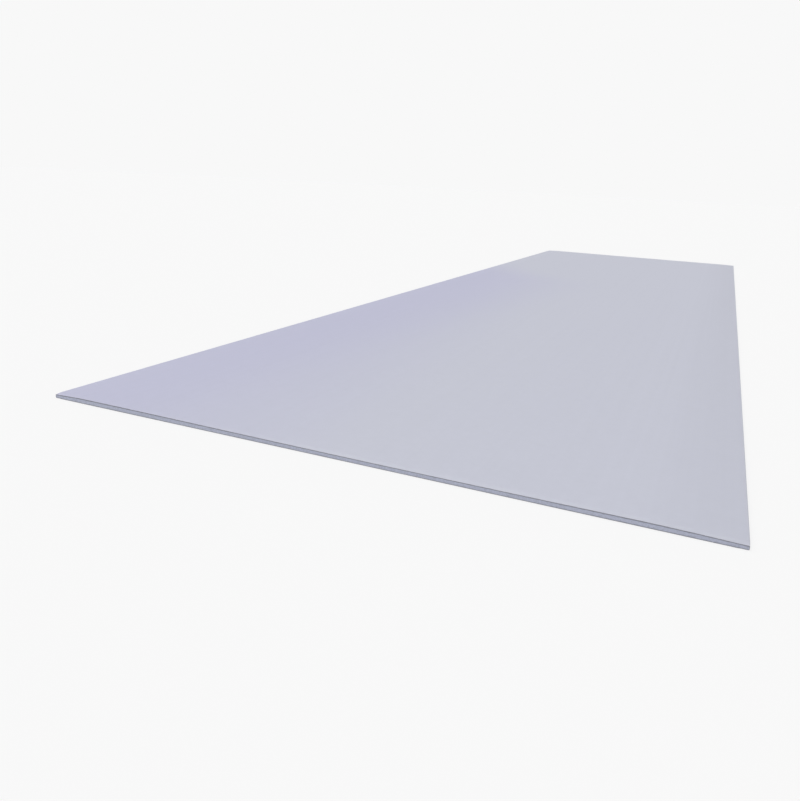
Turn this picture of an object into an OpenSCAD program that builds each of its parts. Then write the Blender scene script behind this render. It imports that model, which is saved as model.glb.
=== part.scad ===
// Drywall sheet: one tapered-edge gypsum board, lying on its back with its face up.
//
// X runs across the width, Y along the length and Z up. The origin is on the back,
// at the middle of the width and of the length.
// The board is one piece: its core and its paper are made together on one line. The
// line leaves both long edges wrapped and tapered, and a saw cuts both ends square.

/* [Board] */
// Width over the two wrapped long edges
board_w = 1200; // [600:1:1350]
// Length between the two cut ends
board_l = 4200; // [1200:1:6000]
// Thickness away from the tapers
board_t = 10; // [9:0.5:16]

/* [Tapers] */
// Width of the recessed strip along each long edge, on the face side
taper_w = 60; // [40:1:80]
// Depth of the recess where the edge's fold begins
taper_depth = 1.3; // [0.5:0.1:2]

/* [Wrapped edges] */
// Radius where the face paper turns down over a long edge
face_fold_r = 2; // [0.5:0.1:3]
// Radius where the paper turns in under the back
back_fold_r = 1; // [0.5:0.1:3]

/* [Hidden] */
$fn = 96;
// How far a cutting shape runs past what it cuts
CUT_SPARE = 1;
half_w = board_w / 2;
// Thickness of the wrapped edge, below its taper
edge_t = board_t - taper_depth;

// The section with its tapers, before its corners are rounded. Each taper falls from
// the field of the face to where the fold begins.
module tapered_section() {
    polygon([
        [-half_w, 0],
        [half_w, 0],
        [half_w, edge_t],
        [half_w - face_fold_r, edge_t],
        [half_w - taper_w, board_t],
        [-half_w + taper_w, board_t],
        [-half_w + face_fold_r, edge_t],
        [-half_w, edge_t],
    ]);
}

// What a fold takes off a square corner at the origin, with the board on the -X and
// -Y sides of it.
module corner_waste(fold_r) {
    difference() {
        translate([-fold_r, -fold_r]) square(fold_r + CUT_SPARE);
        translate([-fold_r, -fold_r]) circle(r = fold_r);
    }
}

// What the two folds of the long edge on the +X side take off.
module edge_waste() {
    translate([half_w, edge_t]) corner_waste(face_fold_r);
    translate([half_w, 0]) mirror([0, 1]) corner_waste(back_fold_r);
}

// The section across the board: tapered on the face, rounded at all four corners.
module board_section() {
    difference() {
        tapered_section();
        edge_waste();
        mirror([1, 0]) edge_waste();
    }
}

// The whole board: its section, run from one cut end to the other.
module board() {
    color([0.77, 0.78, 0.83])
        translate([0, board_l / 2, 0])
            rotate([90, 0, 0])
                linear_extrude(height = board_l)
                    board_section();
}

board();
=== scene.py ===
"""A tapered-edge drywall sheet lying face up, as one closed shell with its finishes, in a plain studio."""

import logging
import math
from abc import ABC, abstractmethod
from dataclasses import dataclass, field
from enum import Enum
from typing import Callable, Optional, Union

import bmesh
import bpy
from mathutils import Matrix, Vector


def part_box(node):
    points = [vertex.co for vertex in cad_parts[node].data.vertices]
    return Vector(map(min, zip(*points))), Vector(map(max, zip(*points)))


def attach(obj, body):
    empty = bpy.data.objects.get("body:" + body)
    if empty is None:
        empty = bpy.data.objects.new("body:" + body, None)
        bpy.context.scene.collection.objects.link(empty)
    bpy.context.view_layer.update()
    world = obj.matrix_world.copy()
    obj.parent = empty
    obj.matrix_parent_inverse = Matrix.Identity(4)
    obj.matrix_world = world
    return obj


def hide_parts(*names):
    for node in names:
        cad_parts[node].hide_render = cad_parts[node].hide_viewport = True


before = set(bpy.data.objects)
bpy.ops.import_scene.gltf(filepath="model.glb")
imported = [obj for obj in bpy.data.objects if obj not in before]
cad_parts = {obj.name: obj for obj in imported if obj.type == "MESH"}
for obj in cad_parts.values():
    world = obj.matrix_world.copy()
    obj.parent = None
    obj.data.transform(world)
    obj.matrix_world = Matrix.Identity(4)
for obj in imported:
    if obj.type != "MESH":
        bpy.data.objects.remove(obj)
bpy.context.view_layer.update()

LOG = logging.getLogger("drywall_sheet")
NODE = "board"
BODY = "root"
MM = 0.001
HAIR = 0.01 * MM
BOTH_WAYS = (-1, 1)
WHITE = (1.0, 1.0, 1.0)

Colour = tuple[float, float, float]
Triple = tuple[float, float, float]
Socket = bpy.types.NodeSocket
Value = Union[float, Colour, Socket]


class Element(Enum):
    """What a selection picks: corners, edges or faces."""

    VERT = "verts"
    EDGE = "edges"
    FACE = "faces"


@dataclass(frozen=True)
class BoardSection:
    """The board's outline, read from its CAD solid.

    Each long edge runs level at `edge_height` for the width of its face fold, and the taper falls to it from
    `field_half`, where the flat field ends.
    """

    half_width: float
    half_length: float
    thickness: float
    field_half: float
    edge_height: float
    face_fold: float
    back_fold: float

    @classmethod
    def measured(cls, node: str) -> "BoardSection":
        """Reads the section from a CAD node's mesh.

        Args:
            node: The name of the CAD node.

        Returns:
            The section, in metres.
        """
        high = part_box(node)[1]
        points = [vertex.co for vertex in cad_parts[node].data.vertices]
        field_half = max(abs(p.x) for p in points if p.z > high.z - HAIR)
        edge_height = max(p.z for p in points if abs(p.x) > field_half + HAIR)
        side = [p.z for p in points if abs(p.x) > high.x - HAIR]
        return cls(
            half_width=high.x,
            half_length=high.y,
            thickness=high.z,
            field_half=field_half,
            edge_height=edge_height,
            face_fold=edge_height - max(side),
            back_fold=min(side),
        )

    @property
    def strip_start(self) -> float:
        """Distance from the middle line to where the level edge strip begins."""
        return self.half_width - self.face_fold

    @property
    def taper_depth(self) -> float:
        """How far the face drops from the field to the edge strip."""
        return self.thickness - self.edge_height


class Graph:
    """A node tree being wired."""

    def __init__(self, tree: bpy.types.NodeTree) -> None:
        """Takes up a node tree."""
        self.tree = tree

    def feed(self, socket: Socket, value: Value) -> None:
        """Links or sets one input.

        Args:
            socket: The input.
            value: Another node's output, a number or a colour.
        """
        if isinstance(value, bpy.types.NodeSocket):
            self.tree.links.new(value, socket)
        elif socket.type == "RGBA":
            socket.default_value = (*value, 1.0)
        else:
            socket.default_value = value

    def add(self, kind: str, inputs: dict[Union[int, str], Value], **settings: object) -> bpy.types.Node:
        """Adds a node.

        Args:
            kind: The node's type.
            inputs: Its inputs, by name or place.
            **settings: Its own properties.

        Returns:
            The node.
        """
        node = self.tree.nodes.new(kind)
        for name, setting in settings.items():
            setattr(node, name, setting)
        for key, value in inputs.items():
            self.feed(node.inputs[key], value)
        return node

    def maths(self, operation: str, *values: Value) -> Socket:
        """Works out a number.

        Args:
            operation: The operation of a Math node.
            *values: Its one to three numbers.

        Returns:
            The result.
        """
        return self.add("ShaderNodeMath", dict(enumerate(values)), operation=operation).outputs[0]

    def vectors(self, operation: str, *values: Value) -> Socket:
        """Works out a vector.

        Args:
            operation: The operation of a Vector Math node.
            *values: Its vectors.

        Returns:
            The result.
        """
        return self.add("ShaderNodeVectorMath", dict(enumerate(values)), operation=operation).outputs[0]

    def noise(self, vector: Value, detail: float = 2.0, roughness: float = 0.5, warp: float = 0.0) -> Socket:
        """Adds a noise with one unit to a lump.

        Args:
            vector: Where it is read.
            detail: How many finer layers it has.
            roughness: How strong the finer layers are.
            warp: How far it is distorted.

        Returns:
            Its height, from 0 to 1 and mostly near 0.5.
        """
        settings = {"Scale": 1.0, "Detail": detail, "Roughness": roughness, "Distortion": warp}
        return self.add("ShaderNodeTexNoise", {"Vector": vector, **settings}).outputs[0]

    def lumps(self, place: Socket, per_metre: Triple, detail: float = 2.0, roughness: float = 0.5) -> Socket:
        """Adds a noise by the size of its lumps.

        Args:
            place: Where a point lies, in metres.
            per_metre: How many lumps there are to a metre across, along and up.
            detail: How many finer layers it has.
            roughness: How strong the finer layers are.

        Returns:
            Its height, from 0 to 1 and mostly near 0.5.
        """
        return self.noise(self.vectors("MULTIPLY", place, per_metre), detail, roughness)

    def ramp(self, value: Value, low: float, high: float, first: float = 0.0, last: float = 1.0) -> Socket:
        """Eases a number from one range to another, held at both ends.

        Args:
            value: The number.
            low: Where the ramp starts.
            high: Where it ends.
            first: The result at its start.
            last: The result at its end.

        Returns:
            The result.
        """
        inputs = {"Value": value, "From Min": low, "From Max": high, "To Min": first, "To Max": last}
        return self.add("ShaderNodeMapRange", inputs, interpolation_type="SMOOTHSTEP").outputs[0]

    def mixed(self, share: Value, first: Value, second: Value, blend: str = "MIX") -> Socket:
        """Mixes two colours.

        Args:
            share: How much of the second there is.
            first: The first colour.
            second: The second colour.
            blend: The way they are mixed.

        Returns:
            The colour.
        """
        node = self.add("ShaderNodeMix", {}, data_type="RGBA", blend_type=blend)
        for key, value in {0: share, 6: first, 7: second}.items():
            self.feed(node.inputs[key], value)
        return node.outputs[2]

    def shaded(self, colour: Value, shade: Socket) -> Socket:
        """Makes a colour lighter or darker.

        Args:
            colour: The colour.
            shade: How much light it keeps; 1 leaves it as it is.

        Returns:
            The colour.
        """
        grey = self.add("ShaderNodeCombineXYZ", {0: shade, 1: shade, 2: shade}).outputs[0]
        return self.mixed(1.0, colour, grey, "MULTIPLY")

    def around(self, middle: float, pattern: Socket, spread: float) -> Socket:
        """Lets a number vary with a pattern.

        Args:
            middle: The number where the pattern is 0.5.
            pattern: The pattern, from 0 to 1.
            spread: The difference between its lowest and its highest place.

        Returns:
            The result.
        """
        return self.maths("MULTIPLY_ADD", pattern, spread, middle - spread / 2)

    def bump(self, height: Value, distance: float, normal: Optional[Socket] = None) -> Socket:
        """Adds a relief.

        Args:
            height: Its height, from 0 to 1.
            distance: What a height of 1 is, in metres.
            normal: The relief under it.

        Returns:
            The surface's normal.
        """
        node = self.add("ShaderNodeBump", {"Height": height, "Distance": distance, "Strength": 1.0})
        if normal is not None:
            self.feed(node.inputs["Normal"], normal)
        return node.outputs[0]


class Effect(ABC):
    """A shader node group that several finishes use."""

    name: str
    inputs: dict[str, Optional[float]]
    outputs: tuple[str, ...]

    @abstractmethod
    def wire(self, graph: Graph, given: bpy.types.Node, made: bpy.types.Node) -> None:
        """Wires the group between its inputs and its outputs.

        Args:
            graph: The group's tree.
            given: The node that holds its inputs.
            made: The node that takes its outputs.
        """

    def tree(self) -> bpy.types.NodeTree:
        """Builds the group, or finds the one already built.

        Returns:
            The group's tree.
        """
        found = bpy.data.node_groups.get(self.name)
        if found:
            return found
        tree = bpy.data.node_groups.new(self.name, "ShaderNodeTree")
        for name, value in self.inputs.items():
            kind = "NodeSocketVector" if value is None else "NodeSocketFloat"
            socket = tree.interface.new_socket(name, in_out="INPUT", socket_type=kind)
            if value is not None:
                socket.default_value = value
        for name in self.outputs:
            tree.interface.new_socket(name, in_out="OUTPUT", socket_type="NodeSocketFloat")
        graph = Graph(tree)
        self.wire(graph, graph.add("NodeGroupInput", {}), graph.add("NodeGroupOutput", {}))
        return tree

    def placed(self, graph: Graph, **inputs: Value) -> bpy.types.Node:
        """Places the group in a material.

        Args:
            graph: The material's tree.
            **inputs: Its inputs, in lower case with underscores.

        Returns:
            The group's node.
        """
        node = graph.tree.nodes.new("ShaderNodeGroup")
        node.node_tree = self.tree()
        for name, value in inputs.items():
            graph.feed(node.inputs[name.replace("_", " ").title()], value)
        return node


class PaperFibre(Effect):
    """Paper made of short threads laid mostly along the board, over soft clouds of thick and thin stock.

    `leans` are the angles, in radians, by which the two families of threads lean off the board's length.
    """

    name = "paper_fibre"
    inputs = {
        "Vector": None,
        "Thread Width": 0.4 * MM,
        "Thread Length": 5 * MM,
        "Cloud Size": 15 * MM,
        "Thread Contrast": 0.02,
        "Cloud Contrast": 0.02,
    }
    outputs = ("Shade", "Relief")
    leans = (0.35, -0.55)
    waviness = 0.8
    ridge = 0.09
    cloud_detail = 5.0
    cloud_roughness = 0.6

    def threads(self, graph: Graph, place: Socket, pitch: Socket, lean: float) -> Socket:
        """Lays one family of threads.

        Args:
            graph: The group's tree.
            place: Where a point lies on the board, in metres.
            pitch: The size of a thread, as a vector.
            lean: The angle by which they lean off the board's length.

        Returns:
            Their height, 1 along a thread's middle and 0 between threads.
        """
        turned = graph.add("ShaderNodeVectorRotate", {"Vector": place, "Angle": lean}).outputs[0]
        lumps = graph.noise(graph.vectors("DIVIDE", turned, pitch), warp=self.waviness)
        off_middle = graph.maths("ABSOLUTE", graph.around(0.0, lumps, 1.0))
        return graph.ramp(off_middle, 0.0, self.ridge, 1.0, 0.0)

    def wire(self, graph: Graph, given: bpy.types.Node, made: bpy.types.Node) -> None:
        """Lays two families of leaning threads over the clouds.

        Args:
            graph: The group's tree.
            given: The node that holds its inputs.
            made: The node that takes its outputs.
        """
        place, width, length, cloud_size, thread_contrast, cloud_contrast = given.outputs[:6]
        pitch = graph.add("ShaderNodeCombineXYZ", {0: width, 1: length, 2: width}).outputs[0]
        threads = graph.maths("MAXIMUM", *(self.threads(graph, place, pitch, lean) for lean in self.leans))
        spread = graph.add("ShaderNodeCombineXYZ", {0: cloud_size, 1: cloud_size, 2: cloud_size}).outputs[0]
        spots = graph.vectors("DIVIDE", place, spread)
        clouds = graph.noise(spots, self.cloud_detail, self.cloud_roughness)
        cloud_shade = graph.maths("MULTIPLY", graph.around(0.0, clouds, 1.0), cloud_contrast)
        shade = graph.maths("MULTIPLY_ADD", graph.around(0.0, threads, 1.0), thread_contrast, cloud_shade)
        graph.feed(made.inputs["Shade"], graph.maths("ADD", shade, 1.0))
        graph.feed(made.inputs["Relief"], graph.maths("MULTIPLY", graph.maths("ADD", threads, clouds), 0.5))


class SawDust(Effect):
    """White gypsum dust that the saw leaves on the papers beside each cut end."""

    name = "saw_dust"
    inputs = {"Vector": None, "Half Length": 2.1, "Reach": 20 * MM}
    outputs = ("Mask",)
    drifts_per_metre = (55.0, 55.0, 55.0)
    grains_per_metre = (900.0, 900.0, 900.0)
    thinnest = 0.35

    def wire(self, graph: Graph, given: bpy.types.Node, made: bpy.types.Node) -> None:
        """Fades the dust out from the cut and breaks it into specks.

        Args:
            graph: The group's tree.
            given: The node that holds its inputs.
            made: The node that takes its outputs.
        """
        place, half_length, reach = given.outputs[:3]
        along = graph.add("ShaderNodeSeparateXYZ", {0: place}).outputs[1]
        inset = graph.maths("SUBTRACT", half_length, graph.maths("ABSOLUTE", along))
        near = graph.ramp(graph.maths("DIVIDE", inset, reach), 0.0, 1.0, 1.0, 0.0)
        drifts = graph.ramp(graph.lumps(place, self.drifts_per_metre, detail=3.0), 0.35, 0.7)
        specks = graph.ramp(graph.lumps(place, self.grains_per_metre), 0.4, 0.65, self.thinnest, 1.0)
        mask = graph.maths("MULTIPLY", graph.maths("MULTIPLY", near, drifts), specks)
        graph.feed(made.inputs["Mask"], mask)


FIBRE = PaperFibre()
DUST = SawDust()
DUST_COLOUR = (0.68, 0.68, 0.72)


@dataclass(frozen=True)
class Powder:
    """Saw dust as it lies on one paper, with its reach from the cut end and the share that it covers."""

    reach: float
    cover: float

    def over(self, graph: Graph, place: Socket, section: BoardSection, colour: Socket) -> Socket:
        """Dusts a colour.

        Args:
            graph: The material's tree.
            place: Where a point lies on the board, in metres.
            section: The board's section.
            colour: The colour underneath.

        Returns:
            The colour.
        """
        dust = DUST.placed(graph, vector=place, half_length=section.half_length, reach=self.reach)
        share = graph.maths("MULTIPLY", dust.outputs["Mask"], self.cover)
        return graph.mixed(share, colour, DUST_COLOUR)


@dataclass(frozen=True)
class Finish(ABC):
    """One surface finish, as a material."""

    name: str
    roughness: float
    specular: float

    @abstractmethod
    def paint(self, graph: Graph, place: Socket, surface: bpy.types.Node) -> None:
        """Wires the finish's patterns to its surface.

        Args:
            graph: The material's tree.
            place: Where a point lies on the board, in metres.
            surface: The Principled BSDF.
        """

    def material(self) -> bpy.types.Material:
        """Builds the material.

        Returns:
            The material.
        """
        material = bpy.data.materials.new(self.name)
        material.use_nodes = True
        graph = Graph(material.node_tree)
        surface = material.node_tree.nodes["Principled BSDF"]
        graph.feed(surface.inputs["Roughness"], self.roughness)
        graph.feed(surface.inputs["Specular IOR Level"], self.specular)
        self.paint(graph, graph.add("ShaderNodeTexCoord", {}).outputs["Object"], surface)
        return material


@dataclass(frozen=True)
class FacePaperFinish(Finish):
    """Smooth, matt, faintly bluish face paper.

    Its colour carries painted shade: it is painted a touch deeper and cooler along its left side, from
    the near end to past the middle, and painted darker along its right edge. Its folds are rubbed dull here
    and there.
    """

    section: BoardSection
    calm: Colour = (0.548, 0.561, 0.646)
    # Painted shade: the deeper, cooler colour painted along the left side.
    cool_painted_shade: Colour = (0.505, 0.509, 0.652)
    worn: Colour = (0.500, 0.508, 0.575)
    bands_per_metre: Triple = (2.2, 0.5, 2.2)
    band_sway: float = 0.25
    # Painted shade: how much light the right edge keeps.
    right_edge_painted_shade: float = 0.955
    streaks_per_metre: Triple = (90.0, 0.4, 90.0)
    streak_contrast: float = 0.03
    rubs_per_metre: Triple = (60.0, 9.0, 60.0)
    rub_width: float = 5 * MM
    rub_cover: float = 0.5
    powder: Powder = Powder(reach=14 * MM, cover=0.25)
    cockles_per_metre: Triple = (14.0, 5.0, 14.0)
    cockle_depth: float = 0.25 * MM
    fibre_depth: float = 0.03 * MM

    def stock(self, graph: Graph, place: Socket, across: Socket, along: Socket) -> Socket:
        """Paints shade into the stock: deeper and cooler on the left, fading to calm.

        Args:
            graph: The material's tree.
            place: Where a point lies on the board, in metres.
            across: How far it lies to the right of the middle line.
            along: How far it lies past the middle of the length.

        Returns:
            The colour.
        """
        half_width = self.section.half_width
        half_length = self.section.half_length
        past_middle = graph.ramp(along, 0.1 * half_length, 0.6 * half_length, 0.0, half_width)
        sway = graph.around(0.0, graph.lumps(place, self.bands_per_metre, detail=1.0), self.band_sway)
        away = graph.maths("ADD", graph.maths("ADD", across, past_middle), sway)
        # Painted shade: mixes towards the deeper, cooler colour on the left and towards the near end.
        return graph.mixed(graph.ramp(away, -0.9 * half_width, 0.1 * half_width), self.cool_painted_shade, self.calm)

    def rubbed(self, graph: Graph, place: Socket, across: Socket, colour: Socket) -> Socket:
        """Rubs the folds of both long edges dull, here and there.

        Args:
            graph: The material's tree.
            place: Where a point lies on the board, in metres.
            across: How far it lies to the right of the middle line.
            colour: The colour underneath.

        Returns:
            The colour.
        """
        to_edge = graph.maths("SUBTRACT", self.section.half_width, graph.maths("ABSOLUTE", across))
        near_fold = graph.ramp(to_edge, 0.0, self.rub_width, self.rub_cover, 0.0)
        rubs = graph.ramp(graph.lumps(place, self.rubs_per_metre, detail=4.0), 0.35, 0.7)
        return graph.mixed(graph.maths("MULTIPLY", near_fold, rubs), colour, self.worn)

    def paint(self, graph: Graph, place: Socket, surface: bpy.types.Node) -> None:
        """Tints the stock with its painted shade, lays its fibre, paints shade along its right edge, rubs its
        folds and dusts its ends.

        Args:
            graph: The material's tree.
            place: Where a point lies on the board, in metres.
            surface: The Principled BSDF.
        """
        half_width = self.section.half_width
        across, along, _ = graph.add("ShaderNodeSeparateXYZ", {0: place}).outputs
        fibre = FIBRE.placed(
            graph,
            vector=place,
            thread_width=0.5 * MM,
            thread_length=6 * MM,
            cloud_size=18 * MM,
            thread_contrast=0.012,
            cloud_contrast=0.05,
        )
        streaks = graph.lumps(place, self.streaks_per_metre, detail=3.0)
        streaked = graph.around(1.0, streaks, self.streak_contrast)
        # Painted shade: the colour darkens towards the right edge, where the taper leans away from the key
        # light.
        painted_edge_shade = graph.ramp(across, 0.7 * half_width, half_width, 1.0, self.right_edge_painted_shade)
        shade = graph.maths("MULTIPLY", graph.maths("MULTIPLY", fibre.outputs["Shade"], streaked), painted_edge_shade)
        laid = graph.shaded(self.stock(graph, place, across, along), shade)
        folded = self.rubbed(graph, place, across, laid)
        graph.feed(surface.inputs["Base Color"], self.powder.over(graph, place, self.section, folded))

        relief = fibre.outputs["Relief"]
        graph.feed(surface.inputs["Roughness"], graph.around(self.roughness, relief, 0.10))
        uneven = graph.bump(graph.lumps(place, self.cockles_per_metre), self.cockle_depth)
        graph.feed(surface.inputs["Normal"], graph.bump(relief, self.fibre_depth, uneven))


@dataclass(frozen=True)
class BackPaperFinish(Finish):
    """Plain grey recycled paper, coarser than the face, with flecks of old stock in it."""

    section: BoardSection
    stock: Colour = (0.330, 0.318, 0.300)
    fleck: Colour = (0.190, 0.185, 0.185)
    fleck_cover: float = 0.6
    flecks_per_metre: float = 160.0
    powder: Powder = Powder(reach=30 * MM, cover=0.5)
    fibre_depth: float = 0.06 * MM

    def paint(self, graph: Graph, place: Socket, surface: bpy.types.Node) -> None:
        """Lays coarse fibre, scatters flecks and dusts the ends.

        Args:
            graph: The material's tree.
            place: Where a point lies on the board, in metres.
            surface: The Principled BSDF.
        """
        fibre = FIBRE.placed(
            graph,
            vector=place,
            thread_width=0.7 * MM,
            thread_length=7 * MM,
            cloud_size=10 * MM,
            thread_contrast=0.10,
            cloud_contrast=0.30,
        )
        laid = graph.shaded(self.stock, fibre.outputs["Shade"])
        scattered = graph.add("ShaderNodeTexVoronoi", {"Vector": place, "Scale": self.flecks_per_metre})
        flecks = graph.ramp(scattered.outputs["Distance"], 0.05, 0.16, self.fleck_cover, 0.0)
        flecked = graph.mixed(flecks, laid, self.fleck)
        graph.feed(surface.inputs["Base Color"], self.powder.over(graph, place, self.section, flecked))
        relief = fibre.outputs["Relief"]
        graph.feed(surface.inputs["Roughness"], graph.around(self.roughness, relief, 0.12))
        graph.feed(surface.inputs["Normal"], graph.bump(relief, self.fibre_depth))


@dataclass(frozen=True)
class CutPaperFinish(Finish):
    """The grey inside of the papers, where the saw has cut them and left them fuzzy and dusty."""

    stock: Colour = (0.300, 0.305, 0.335)
    grains_per_metre: Triple = (500.0, 500.0, 500.0)
    dust_cover: float = 0.5
    fibre_depth: float = 0.05 * MM

    def paint(self, graph: Graph, place: Socket, surface: bpy.types.Node) -> None:
        """Lays torn fibre along the cut and powders it.

        Args:
            graph: The material's tree.
            place: Where a point lies on the board, in metres.
            surface: The Principled BSDF.
        """
        fibre = FIBRE.placed(
            graph,
            vector=place,
            thread_width=0.15 * MM,
            thread_length=0.3 * MM,
            cloud_size=6 * MM,
            thread_contrast=0.15,
            cloud_contrast=0.4,
        )
        laid = graph.shaded(self.stock, fibre.outputs["Shade"])
        grains = graph.lumps(place, self.grains_per_metre, detail=3.0)
        dusted = graph.ramp(grains, 0.5, 0.75, 0.0, self.dust_cover)
        graph.feed(surface.inputs["Base Color"], graph.mixed(dusted, laid, DUST_COLOUR))
        graph.feed(surface.inputs["Roughness"], graph.around(self.roughness, grains, 0.10))
        graph.feed(surface.inputs["Normal"], graph.bump(fibre.outputs["Relief"], self.fibre_depth))


@dataclass(frozen=True)
class GypsumFinish(Finish):
    """Sawn gypsum: a pale aerated middle between two denser, darker skins, pitted by small bubbles. The dark
    skins also carry painted shadow under the papers' cut edges, and the bubbles are painted dark as shade in
    their hollows.

    `height_layer` is the attribute that holds each corner's height in the unpressed board.
    """

    section: BoardSection
    ply: float
    height_layer: str
    middle: Colour = (0.515, 0.540, 0.665)
    skin_and_painted_shadow: Colour = (0.285, 0.295, 0.350)
    # Painted shade: the dark colour painted in the pores' hollows.
    pore_painted_shade: Colour = (0.330, 0.345, 0.410)
    # Painted shadow: the dark skin under the face is widened to stand for the shade under the face paper's
    # edge.
    face_skin_and_painted_shadow: float = 1.9 * MM
    # Painted shadow: the thin dark skin over the back also stands for the shade along the back paper's edge.
    back_skin_and_painted_shadow: float = 0.5 * MM
    wanders_per_metre: Triple = (120.0, 120.0, 120.0)
    mottles_per_metre: Triple = (350.0, 350.0, 350.0)
    mottle_cover: float = 0.35
    mottle_depth: float = 0.5 * MM
    pores_per_metre: float = 900.0
    widest_pore: float = 0.36
    pore_depth: float = 0.25 * MM

    def within(self, graph: Graph, place: Socket) -> Socket:
        """Works out whether a point lies within both dark skins, which also carry painted shadow under the
        papers, and whose inner limits wander.

        Args:
            graph: The material's tree.
            place: Where a point lies on the board, in metres.

        Returns:
            0 in the dark skins and their painted shadow, and 1 in the middle.
        """
        section = self.section
        across = graph.add("ShaderNodeSeparateXYZ", {0: place}).outputs[0]
        height = graph.add("ShaderNodeAttribute", {}, attribute_name=self.height_layer).outputs["Fac"]
        past_field = graph.maths("SUBTRACT", graph.maths("ABSOLUTE", across), section.field_half)
        fall = section.taper_depth / (section.strip_start - section.field_half)
        drop = graph.maths("MULTIPLY", graph.maths("MAXIMUM", past_field, 0.0), fall)
        top = graph.maths("SUBTRACT", section.thickness - self.ply, drop)
        under_face = graph.maths("DIVIDE", graph.maths("SUBTRACT", top, height), self.face_skin_and_painted_shadow)
        over_back = graph.maths("DIVIDE", graph.maths("SUBTRACT", height, self.ply), self.back_skin_and_painted_shadow)
        wander = graph.lumps(place, self.wanders_per_metre, detail=3.0)
        depth = graph.maths("ADD", graph.maths("MINIMUM", under_face, over_back), wander)
        return graph.ramp(depth, 1.1, 1.9)

    def pores(self, graph: Graph, place: Socket) -> Socket:
        """Scatters round pores of many sizes.

        Args:
            graph: The material's tree.
            place: Where a point lies on the board, in metres.

        Returns:
            1 in a pore and 0 outside.
        """
        cells = graph.add("ShaderNodeTexVoronoi", {"Vector": place, "Scale": self.pores_per_metre})
        chosen = graph.add("ShaderNodeSeparateColor", {0: cells.outputs["Color"]}).outputs[0]
        width = graph.ramp(chosen, 0.3, 1.0, 0.0, self.widest_pore)
        return graph.ramp(graph.maths("SUBTRACT", width, cells.outputs["Distance"]), 0.0, 0.12)

    def paint(self, graph: Graph, place: Socket, surface: bpy.types.Node) -> None:
        """Paints the dark skins with their painted shadow, mottles the gypsum and digs its pores, painting
        shade in them.

        Args:
            graph: The material's tree.
            place: Where a point lies on the board, in metres.
            surface: The Principled BSDF.
        """
        # Painted shadow: the dark skins stand partly for the shade under the papers' cut edges.
        body = graph.mixed(self.within(graph, place), self.skin_and_painted_shadow, self.middle)
        mottle = graph.lumps(place, self.mottles_per_metre, detail=4.0, roughness=0.6)
        mottled = graph.mixed(graph.ramp(mottle, 0.3, 0.75, 0.0, self.mottle_cover), body, self.skin_and_painted_shadow)
        pores = self.pores(graph, place)
        # Painted shade: the pores' hollows are coloured dark.
        graph.feed(surface.inputs["Base Color"], graph.mixed(pores, mottled, self.pore_painted_shade))
        graph.feed(surface.inputs["Roughness"], graph.around(self.roughness, mottle, 0.10))
        grain = graph.bump(mottle, self.mottle_depth)
        solid = graph.maths("SUBTRACT", 1.0, pores)
        graph.feed(surface.inputs["Normal"], graph.bump(solid, self.pore_depth, grain))


@dataclass(frozen=True)
class FloorFinish(Finish):
    """An evenly lit pale studio floor that glows a little, so that shadows on it stay faint."""

    coat: Colour = (0.2, 0.2, 0.2)
    glow: float = 0.74
    patches_per_metre: Triple = (1.5, 1.5, 1.5)

    def paint(self, graph: Graph, place: Socket, surface: bpy.types.Node) -> None:
        """Sets the floor's coat, its faint unevenness and its glow.

        Args:
            graph: The material's tree.
            place: Where a point lies on the floor, in metres.
            surface: The Principled BSDF.
        """
        patches = graph.lumps(place, self.patches_per_metre)
        graph.feed(surface.inputs["Base Color"], self.coat)
        graph.feed(surface.inputs["Emission Color"], WHITE)
        graph.feed(surface.inputs["Emission Strength"], self.glow)
        graph.feed(surface.inputs["Roughness"], graph.around(self.roughness, patches, 0.04))


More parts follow.
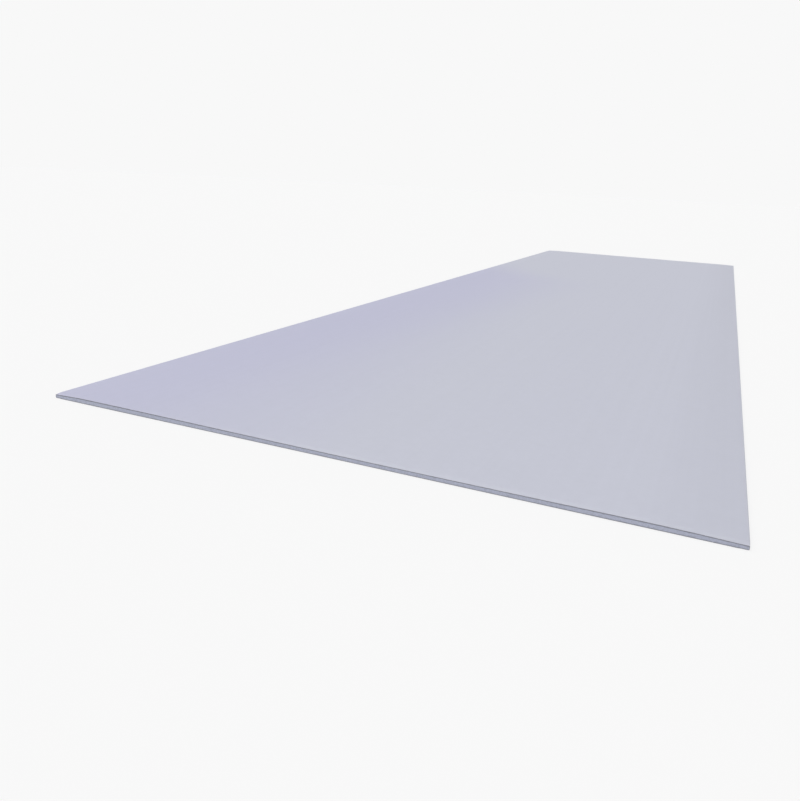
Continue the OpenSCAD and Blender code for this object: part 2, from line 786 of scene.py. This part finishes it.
class Workpiece:
    """A mesh on the bench, open in edit mode, with its selections made by place.

    An edge counts as lengthwise when its run along the board is at least the share `straight` of its length.
    """

    straight = 0.99

    def __init__(self, name: str) -> None:
        """Takes up the primitive that was just added.

        Args:
            name: The piece's name.
        """
        self.body = bpy.context.object
        self.body.name = name
        self.body.data.name = name
        bpy.ops.object.transform_apply(location=True, rotation=True, scale=True)
        bpy.ops.object.mode_set(mode="EDIT")

    @staticmethod
    def clear_bench() -> None:
        """Deselects everything, before a new primitive is added."""
        bpy.ops.object.select_all(action="DESELECT")

    def pick(self, kind: Element, where: Callable[[Vector], bool]) -> None:
        """Selects what lies in a place.

        Args:
            kind: What is selected.
            where: Whether a point lies in the place; all of an element's corners have to.
        """
        bpy.ops.mesh.select_mode(type=kind.name)
        bpy.ops.mesh.select_all(action="DESELECT")
        shape = bmesh.from_edit_mesh(self.body.data)
        for element in getattr(shape, kind.value):
            corners = [element] if kind is Element.VERT else element.verts
            element.select_set(all(where(corner.co) for corner in corners))
        shape.select_flush_mode()
        bmesh.update_edit_mesh(self.body.data)

    def move(self, *step: float) -> None:
        """Moves what is selected."""
        bpy.ops.transform.translate(value=step)

    def stretch(self, *factors: float) -> None:
        """Stretches what is selected about the origin."""
        bpy.ops.transform.resize(value=factors, center_override=(0.0, 0.0, 0.0))

    def cut(self, point: Triple, normal: Triple, **clear: bool) -> None:
        """Cuts the whole mesh along a plane.

        Args:
            point: A point on the plane.
            normal: The plane's normal.
            **clear: Which side is cleared away, if any.
        """
        bpy.ops.mesh.select_mode(type=Element.FACE.name)
        bpy.ops.mesh.select_all(action="SELECT")
        facing = Vector(normal).normalized()
        bpy.ops.mesh.bisect(plane_co=point, plane_no=facing, threshold=HAIR / 10, **clear)

    def divide_length(self, pitch: float) -> None:
        """Divides the edges that run along the board evenly.

        Args:
            pitch: The longest that a stretch may be.
        """
        bpy.ops.mesh.select_mode(type=Element.EDGE.name)
        bpy.ops.mesh.select_all(action="DESELECT")
        shape = bmesh.from_edit_mesh(self.body.data)
        longest = 0.0
        for edge in shape.edges:
            run = edge.verts[1].co - edge.verts[0].co
            lengthwise = abs(run.y) > self.straight * run.length
            edge.select_set(lengthwise)
            longest = max(longest, run.length * lengthwise)
        bmesh.update_edit_mesh(self.body.data)
        bpy.ops.mesh.subdivide(number_cuts=math.ceil(longest / pitch) - 1)

    def dress(self, finish: Finish, where: Callable[[Vector], bool] = lambda p: True) -> None:
        """Gives faces a finish.

        Args:
            finish: The finish.
            where: Whether a point lies in the place that gets it, which is the whole piece if none is given.
        """
        self.body.data.materials.append(finish.material())
        self.pick(Element.FACE, where)
        self.body.active_material_index = len(self.body.data.materials) - 1
        bpy.ops.object.material_slot_assign()

    def weld(self, gap: float = HAIR) -> None:
        """Merges corners that lie closer than a gap."""
        bpy.ops.mesh.select_all(action="SELECT")
        bpy.ops.mesh.remove_doubles(threshold=gap)

    def lift(self) -> bpy.types.Object:
        """Merges doubles and leaves edit mode.

        Returns:
            The piece.
        """
        self.weld()
        bpy.ops.object.mode_set(mode="OBJECT")
        return self.body


def grouped(body: bpy.types.Object, name: str, weight: Callable[[Vector], float]) -> str:
    """Gathers corners into a vertex group by their place.

    Args:
        body: The object.
        name: The group's name.
        weight: A corner's weight, from 0 to 1.

    Returns:
        The group's name.
    """
    group = body.vertex_groups.new(name=name)
    for vertex in body.data.vertices:
        share = weight(vertex.co)
        if share > 0.0:
            group.add([vertex.index], share, "REPLACE")
    return name


def applied(body: bpy.types.Object, kind: str, **settings: object) -> None:
    """Adds a modifier to an object and applies it.

    Args:
        body: The object.
        kind: The modifier's type.
        **settings: Its settings.
    """
    modifier = body.modifiers.new(kind.lower(), kind)
    for name, setting in settings.items():
        setattr(modifier, name, setting)
    bpy.context.view_layer.objects.active = body
    bpy.ops.object.modifier_apply(modifier=modifier.name)


def shaded_smooth(body: bpy.types.Object, crisp: float = 40.0) -> None:
    """Shades a piece smooth, up to the angle in degrees from which an edge stays sharp."""
    bpy.context.view_layer.objects.active = body
    bpy.ops.object.shade_smooth_by_angle(angle=math.radians(crisp))


def clouds(name: str, size: float) -> bpy.types.Texture:
    """Makes a cloudy height texture with lumps of one size.

    Args:
        name: The texture's name.
        size: The size of a lump, in metres.

    Returns:
        The texture.
    """
    texture = bpy.data.textures.new(name, "CLOUDS")
    texture.noise_scale = size
    texture.noise_depth = 2
    return texture


@dataclass
class Fray:
    """How unevenly the saw cuts: the depth to which it eats in, and the size of its bites."""

    depth: float
    bite: float

    def eat(self, body: bpy.types.Object, name: str, level: float) -> None:
        """Eats into the two faces that lie at one distance from the middle of the board's length.

        Args:
            body: The piece.
            name: What is eaten.
            level: The distance.
        """
        bites = clouds(name + "_bites", self.bite)
        for end in BOTH_WAYS:
            group = grouped(body, f"{name}_{end + 1}", lambda p: float(abs(end * p.y - level) < HAIR))
            applied(
                body,
                "DISPLACE",
                texture=bites,
                texture_coords="LOCAL",
                vertex_group=group,
                direction="Y",
                mid_level=0.0,
                strength=-end * self.depth,
            )


@dataclass(frozen=True)
class Dip:
    """A place where a cut end is pressed down.

    `middle` and `breadth`, its place and its half breadth, are shares of the board's half width.
    """

    middle: float
    breadth: float
    depth: float

    def at(self, share: float) -> float:
        """How deep the dip is at a place across the board, given as a share of its half width."""
        away = min(abs(share - self.middle) / self.breadth, 1.0)
        return self.depth * (1.0 - away**2) ** 2


@dataclass
class Pressing:
    """How cutting and handling have pressed the face down along both cut ends, rolling off its arris."""

    reach: float = 12 * MM
    dips: tuple[Dip, ...] = (
        Dip(middle=0.0, breadth=5.0, depth=0.7 * MM),
        Dip(middle=0.2, breadth=1.0, depth=2.2 * MM),
        Dip(middle=1.0, breadth=0.2333, depth=1.8 * MM),
        Dip(middle=-1.0, breadth=0.1, depth=1.2 * MM),
    )

    def depth(self, section: BoardSection, p: Vector) -> float:
        """Works out how far a point is pressed down.

        Args:
            section: The board's section.
            p: The point.

        Returns:
            The distance, which is most at the face's arris and none at the back.
        """
        arris_depth = sum(dip.at(p.x / section.half_width) for dip in self.dips)
        inwards = min((section.half_length - abs(p.y)) / self.reach, 1.0)
        return arris_depth * (1.0 - inwards) ** 2 * p.z / section.thickness

    def press(self, body: bpy.types.Object, section: BoardSection) -> None:
        """Presses both ends down.

        Args:
            body: The piece.
            section: The board's section.
        """
        deepest = sum(dip.depth for dip in self.dips)
        group = grouped(body, "pressed", lambda p: self.depth(section, p) / deepest)
        applied(body, "DISPLACE", vertex_group=group, direction="Z", mid_level=0.0, strength=-deepest)


@dataclass
class DrywallSheet:
    """The sheet: one closed shell, wrapped in face paper, with a back paper and two sawn ends.

    At each end the gypsum lies `recess` behind the edges of the papers, which are one `ply` thick, and the
    drop between them is one `lip` wide. Underneath, the back paper ends `margin` short of the long edges and
    stands one `step` proud of the face paper's lap. The mesh is divided by at most a `cell` across and up and
    a `row` along, with more rows at `end_rows` from each end.
    """

    section: BoardSection
    ply: float = 0.5 * MM
    recess: float = 0.5 * MM
    lip: float = 0.05 * MM
    margin: float = 12 * MM
    step: float = 0.35 * MM
    cell: float = 3 * MM
    row: float = 100 * MM
    end_rows: tuple[float, ...] = (0.8 * MM, 2.5 * MM, 5 * MM, 8 * MM, 12 * MM)
    fold_turns: int = 8
    weld_gap: float = 0.1 * MM
    height_layer: str = "sawn_height"
    paper_fray: Fray = field(default_factory=lambda: Fray(depth=0.35 * MM, bite=3 * MM))
    gypsum_fray: Fray = field(default_factory=lambda: Fray(depth=0.5 * MM, bite=9 * MM))
    pressing: Pressing = field(default_factory=Pressing)

    def outlined(self) -> Workpiece:
        """Stands a grid at the near end and trims it to the board's outline.

        Returns:
            The grid.
        """
        section = self.section
        Workpiece.clear_bench()
        bpy.ops.mesh.primitive_grid_add(
            x_subdivisions=round(2 * section.half_width / self.cell),
            y_subdivisions=math.ceil(section.thickness / self.cell),
            size=2,
            rotation=(math.pi / 2, 0.0, 0.0),
        )
        sheet = Workpiece("drywall_sheet")
        sheet.stretch(section.half_width, 1.0, section.thickness / 2)
        sheet.move(0.0, -section.half_length, section.thickness / 2)
        lap_start = section.half_width - self.margin
        run = section.strip_start - section.field_half
        for way in BOTH_WAYS:
            sheet.cut(
                (way * section.strip_start, 0.0, section.edge_height),
                (way * section.taper_depth, 0.0, run),
                clear_outer=True,
            )
            for start in (lap_start, lap_start + self.step):
                sheet.cut((way * start, 0.0, 0.0), (1.0, 0.0, 0.0))
        sheet.pick(Element.VERT, lambda p: abs(p.x) > lap_start + self.step - HAIR and p.z < HAIR)
        sheet.move(0.0, 0.0, self.step)
        for way in BOTH_WAYS:
            self.folded(sheet, way, section.face_fold, section.edge_height, 1)
            self.folded(sheet, way, section.back_fold, self.step, -1)
        sheet.weld(self.weld_gap)
        return sheet

    def folded(self, sheet: Workpiece, way: int, radius: float, height: float, up: int) -> None:
        """Rounds one long corner of the outline with even cuts.

        Args:
            sheet: The outline.
            way: The side, -1 for the left and 1 for the right.
            radius: The fold's radius.
            height: The height of the level side at the fold.
            up: 1 for the face's fold and -1 for the back's.
        """
        middle = Vector((way * (self.section.half_width - radius), 0.0, height - up * radius))
        for turn in range(self.fold_turns):
            angle = (turn + 0.5) * math.pi / 2 / self.fold_turns
            outward = Vector((way * math.cos(angle), 0.0, up * math.sin(angle)))
            sheet.cut(tuple(middle + radius * outward), tuple(outward), clear_outer=True)

    def drawn_out(self, sheet: Workpiece) -> None:
        """Draws the outline out to the board's length, and divides it finely at both ends.

        Args:
            sheet: The outline, which becomes a closed shell.
        """
        half_length = self.section.half_length
        bpy.ops.mesh.select_all(action="SELECT")
        bpy.ops.mesh.extrude_region_move(TRANSFORM_OT_translate={"value": (0.0, 2 * half_length, 0.0)})
        bpy.ops.mesh.select_all(action="SELECT")
        bpy.ops.mesh.normals_make_consistent(inside=False)
        sheet.divide_length(self.row)
        for inset in self.end_rows:
            for end in BOTH_WAYS:
                sheet.cut((0.0, end * (half_length - inset), 0.0), (0.0, 1.0, 0.0))

    def sunk(self, sheet: Workpiece) -> None:
        """Sinks the gypsum behind the edges of the papers at both ends.

        Args:
            sheet: The closed shell.
        """
        sheet.pick(Element.FACE, lambda p: abs(p.y) > self.section.half_length - HAIR)
        bpy.ops.mesh.inset(thickness=self.ply, use_even_offset=True)
        bpy.ops.mesh.inset(thickness=self.lip, depth=-self.recess, use_even_offset=True)

    def dressed(self, sheet: Workpiece) -> None:
        """Gives the face and its wrap, the back, the papers' cut edges and the gypsum their finishes.

        Args:
            sheet: The shell with its ends sunk.
        """
        section = self.section
        back_half = section.half_width - self.margin + HAIR
        sawn = section.half_length - self.recess
        sheet.dress(FacePaperFinish(name="smooth_face_paper", roughness=0.58, specular=0.4, section=section))
        sheet.dress(
            BackPaperFinish(name="grey_back_paper", roughness=0.85, specular=0.2, section=section),
            lambda p: p.z < HAIR and abs(p.x) < back_half,
        )
        sheet.dress(
            CutPaperFinish(name="cut_paper_edge", roughness=0.9, specular=0.2),
            lambda p: abs(p.y) > sawn - HAIR,
        )
        sheet.dress(
            GypsumFinish(
                name="sawn_gypsum",
                roughness=0.9,
                specular=0.15,
                section=section,
                ply=self.ply,
                height_layer=self.height_layer,
            ),
            lambda p: abs(abs(p.y) - sawn) < HAIR,
        )

    def build(self) -> bpy.types.Object:
        """Models the sheet.

        Returns:
            The finished piece.
        """
        section = self.section
        sheet = self.outlined()
        self.drawn_out(sheet)
        self.sunk(sheet)
        self.dressed(sheet)
        body = sheet.lift()
        heights = body.data.attributes.new(self.height_layer, "FLOAT", "POINT")
        heights.data.foreach_set("value", [vertex.co.z for vertex in body.data.vertices])
        self.paper_fray.eat(body, "paper", section.half_length)
        self.gypsum_fray.eat(body, "gypsum", section.half_length - self.recess)
        self.pressing.press(body, section)
        shaded_smooth(body)
        return body


@dataclass
class Lamp:
    """A far, broad studio light.

    `heading` is where it stands, in degrees round from the near end towards the right edge, and `height` is
    its angle above the floor.
    """

    name: str
    heading: float
    height: float
    strength: float
    breadth: float
    colour: Colour = WHITE

    def hang(self) -> None:
        """Hangs the lamp."""
        heading = math.radians(self.heading)
        height = math.radians(self.height)
        towards = Vector(
            (math.sin(heading) * math.cos(height), -math.cos(heading) * math.cos(height), math.sin(height))
        )
        bpy.ops.object.light_add(type="SUN", rotation=towards.to_track_quat("Z", "Y").to_euler())
        lamp = bpy.context.object
        lamp.name = self.name
        lamp.data.energy = self.strength
        lamp.data.angle = math.radians(self.breadth)
        lamp.data.color = self.colour


@dataclass
class Studio:
    """A plain pale floor that runs into an even backdrop, under broad soft light.

    The light that reaches the board is `skirting` near the horizon, up to `skirting_top`, and the dimmer
    `fill` from `fill_start` upwards, both as the sine of the angle above the floor.
    """

    floor_half: float = 60.0
    floor_gap: float = 0.2 * MM
    backdrop: float = 0.939
    skirting: float = 1.1
    skirting_top: float = 0.05
    fill: float = 0.30
    fill_start: float = 0.3
    lamps: tuple[Lamp, ...] = (
        Lamp("overhead", heading=0.0, height=88.0, strength=1.7, breadth=90.0),
        Lamp("key", heading=-100.0, height=50.0, strength=0.6, breadth=60.0),
    )

    def lay_floor(self) -> None:
        """Lays the floor just under the board."""
        Workpiece.clear_bench()
        bpy.ops.mesh.primitive_plane_add(size=2)
        floor = Workpiece("studio_floor")
        floor.stretch(self.floor_half, self.floor_half, 1.0)
        floor.move(0.0, 0.0, -self.floor_gap)
        floor.dress(FloorFinish(name="studio_floor", roughness=0.9, specular=0.0))
        floor.lift()

    def light(self) -> None:
        """Sets the backdrop that the camera sees, the light that reaches the board, and the lamps."""
        world = bpy.data.worlds.new("studio")
        bpy.context.scene.world = world
        world.use_nodes = True
        graph = Graph(world.node_tree)
        backdrop = world.node_tree.nodes["Background"]
        graph.feed(backdrop.inputs["Color"], (self.backdrop,) * 3)
        towards = graph.add("ShaderNodeTexCoord", {}).outputs["Generated"]
        height = graph.add("ShaderNodeSeparateXYZ", {0: towards}).outputs[2]
        strength = graph.ramp(height, self.skirting_top, self.fill_start, self.skirting, self.fill)
        fill = graph.add("ShaderNodeBackground", {"Color": WHITE, "Strength": strength})
        seen = graph.add("ShaderNodeLightPath", {}).outputs["Is Camera Ray"]
        sides = {0: seen, 1: fill.outputs[0], 2: backdrop.outputs[0]}
        shown = graph.add("ShaderNodeMixShader", sides).outputs[0]
        graph.feed(world.node_tree.nodes["World Output"].inputs["Surface"], shown)
        for lamp in self.lamps:
            lamp.hang()


@dataclass
class Viewpoint:
    """The main camera, which stands just off the near end and looks down along the board.

    `beside` and `before` place it from the middle of the near end, and `heading` turns it from the board's
    length towards the right edge, so that it looks to the left where that is negative.
    """

    beside: float = 0.505
    before: float = 0.917
    above: float = 0.423
    heading: float = -23.26
    tilt: float = 17.13
    roll: float = 2.86
    lens: float = 31.86
    nearest: float = 0.01
    farthest: float = 400.0

    def set_up(self, section: BoardSection) -> None:
        """Sets up the camera.

        Args:
            section: The board's section.
        """
        bpy.ops.object.camera_add(location=(self.beside, -section.half_length - self.before, self.above))
        camera = bpy.context.object
        camera.name = "viewpoint"
        turned = (
            Matrix.Rotation(-math.radians(self.heading), 3, "Z")
            @ Matrix.Rotation(math.radians(90.0 - self.tilt), 3, "X")
            @ Matrix.Rotation(math.radians(self.roll), 3, "Z")
        )
        camera.rotation_euler = turned.to_euler()
        camera.data.lens = self.lens
        camera.data.clip_start = self.nearest
        camera.data.clip_end = self.farthest
        bpy.context.scene.camera = camera


def main() -> None:
    """Builds the sheet, the studio and the camera."""
    logging.basicConfig(level=logging.INFO, format="%(name)s: %(message)s")
    bpy.context.scene.view_settings.view_transform = "Standard"
    section = BoardSection.measured(NODE)
    sheet = DrywallSheet(section).build()
    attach(sheet, BODY)
    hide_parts(NODE)
    LOG.info("%s: %d faces", sheet.name, len(sheet.data.polygons))
    studio = Studio()
    studio.lay_floor()
    studio.light()
    Viewpoint().set_up(section)


if __name__ == "__main__":
    main()
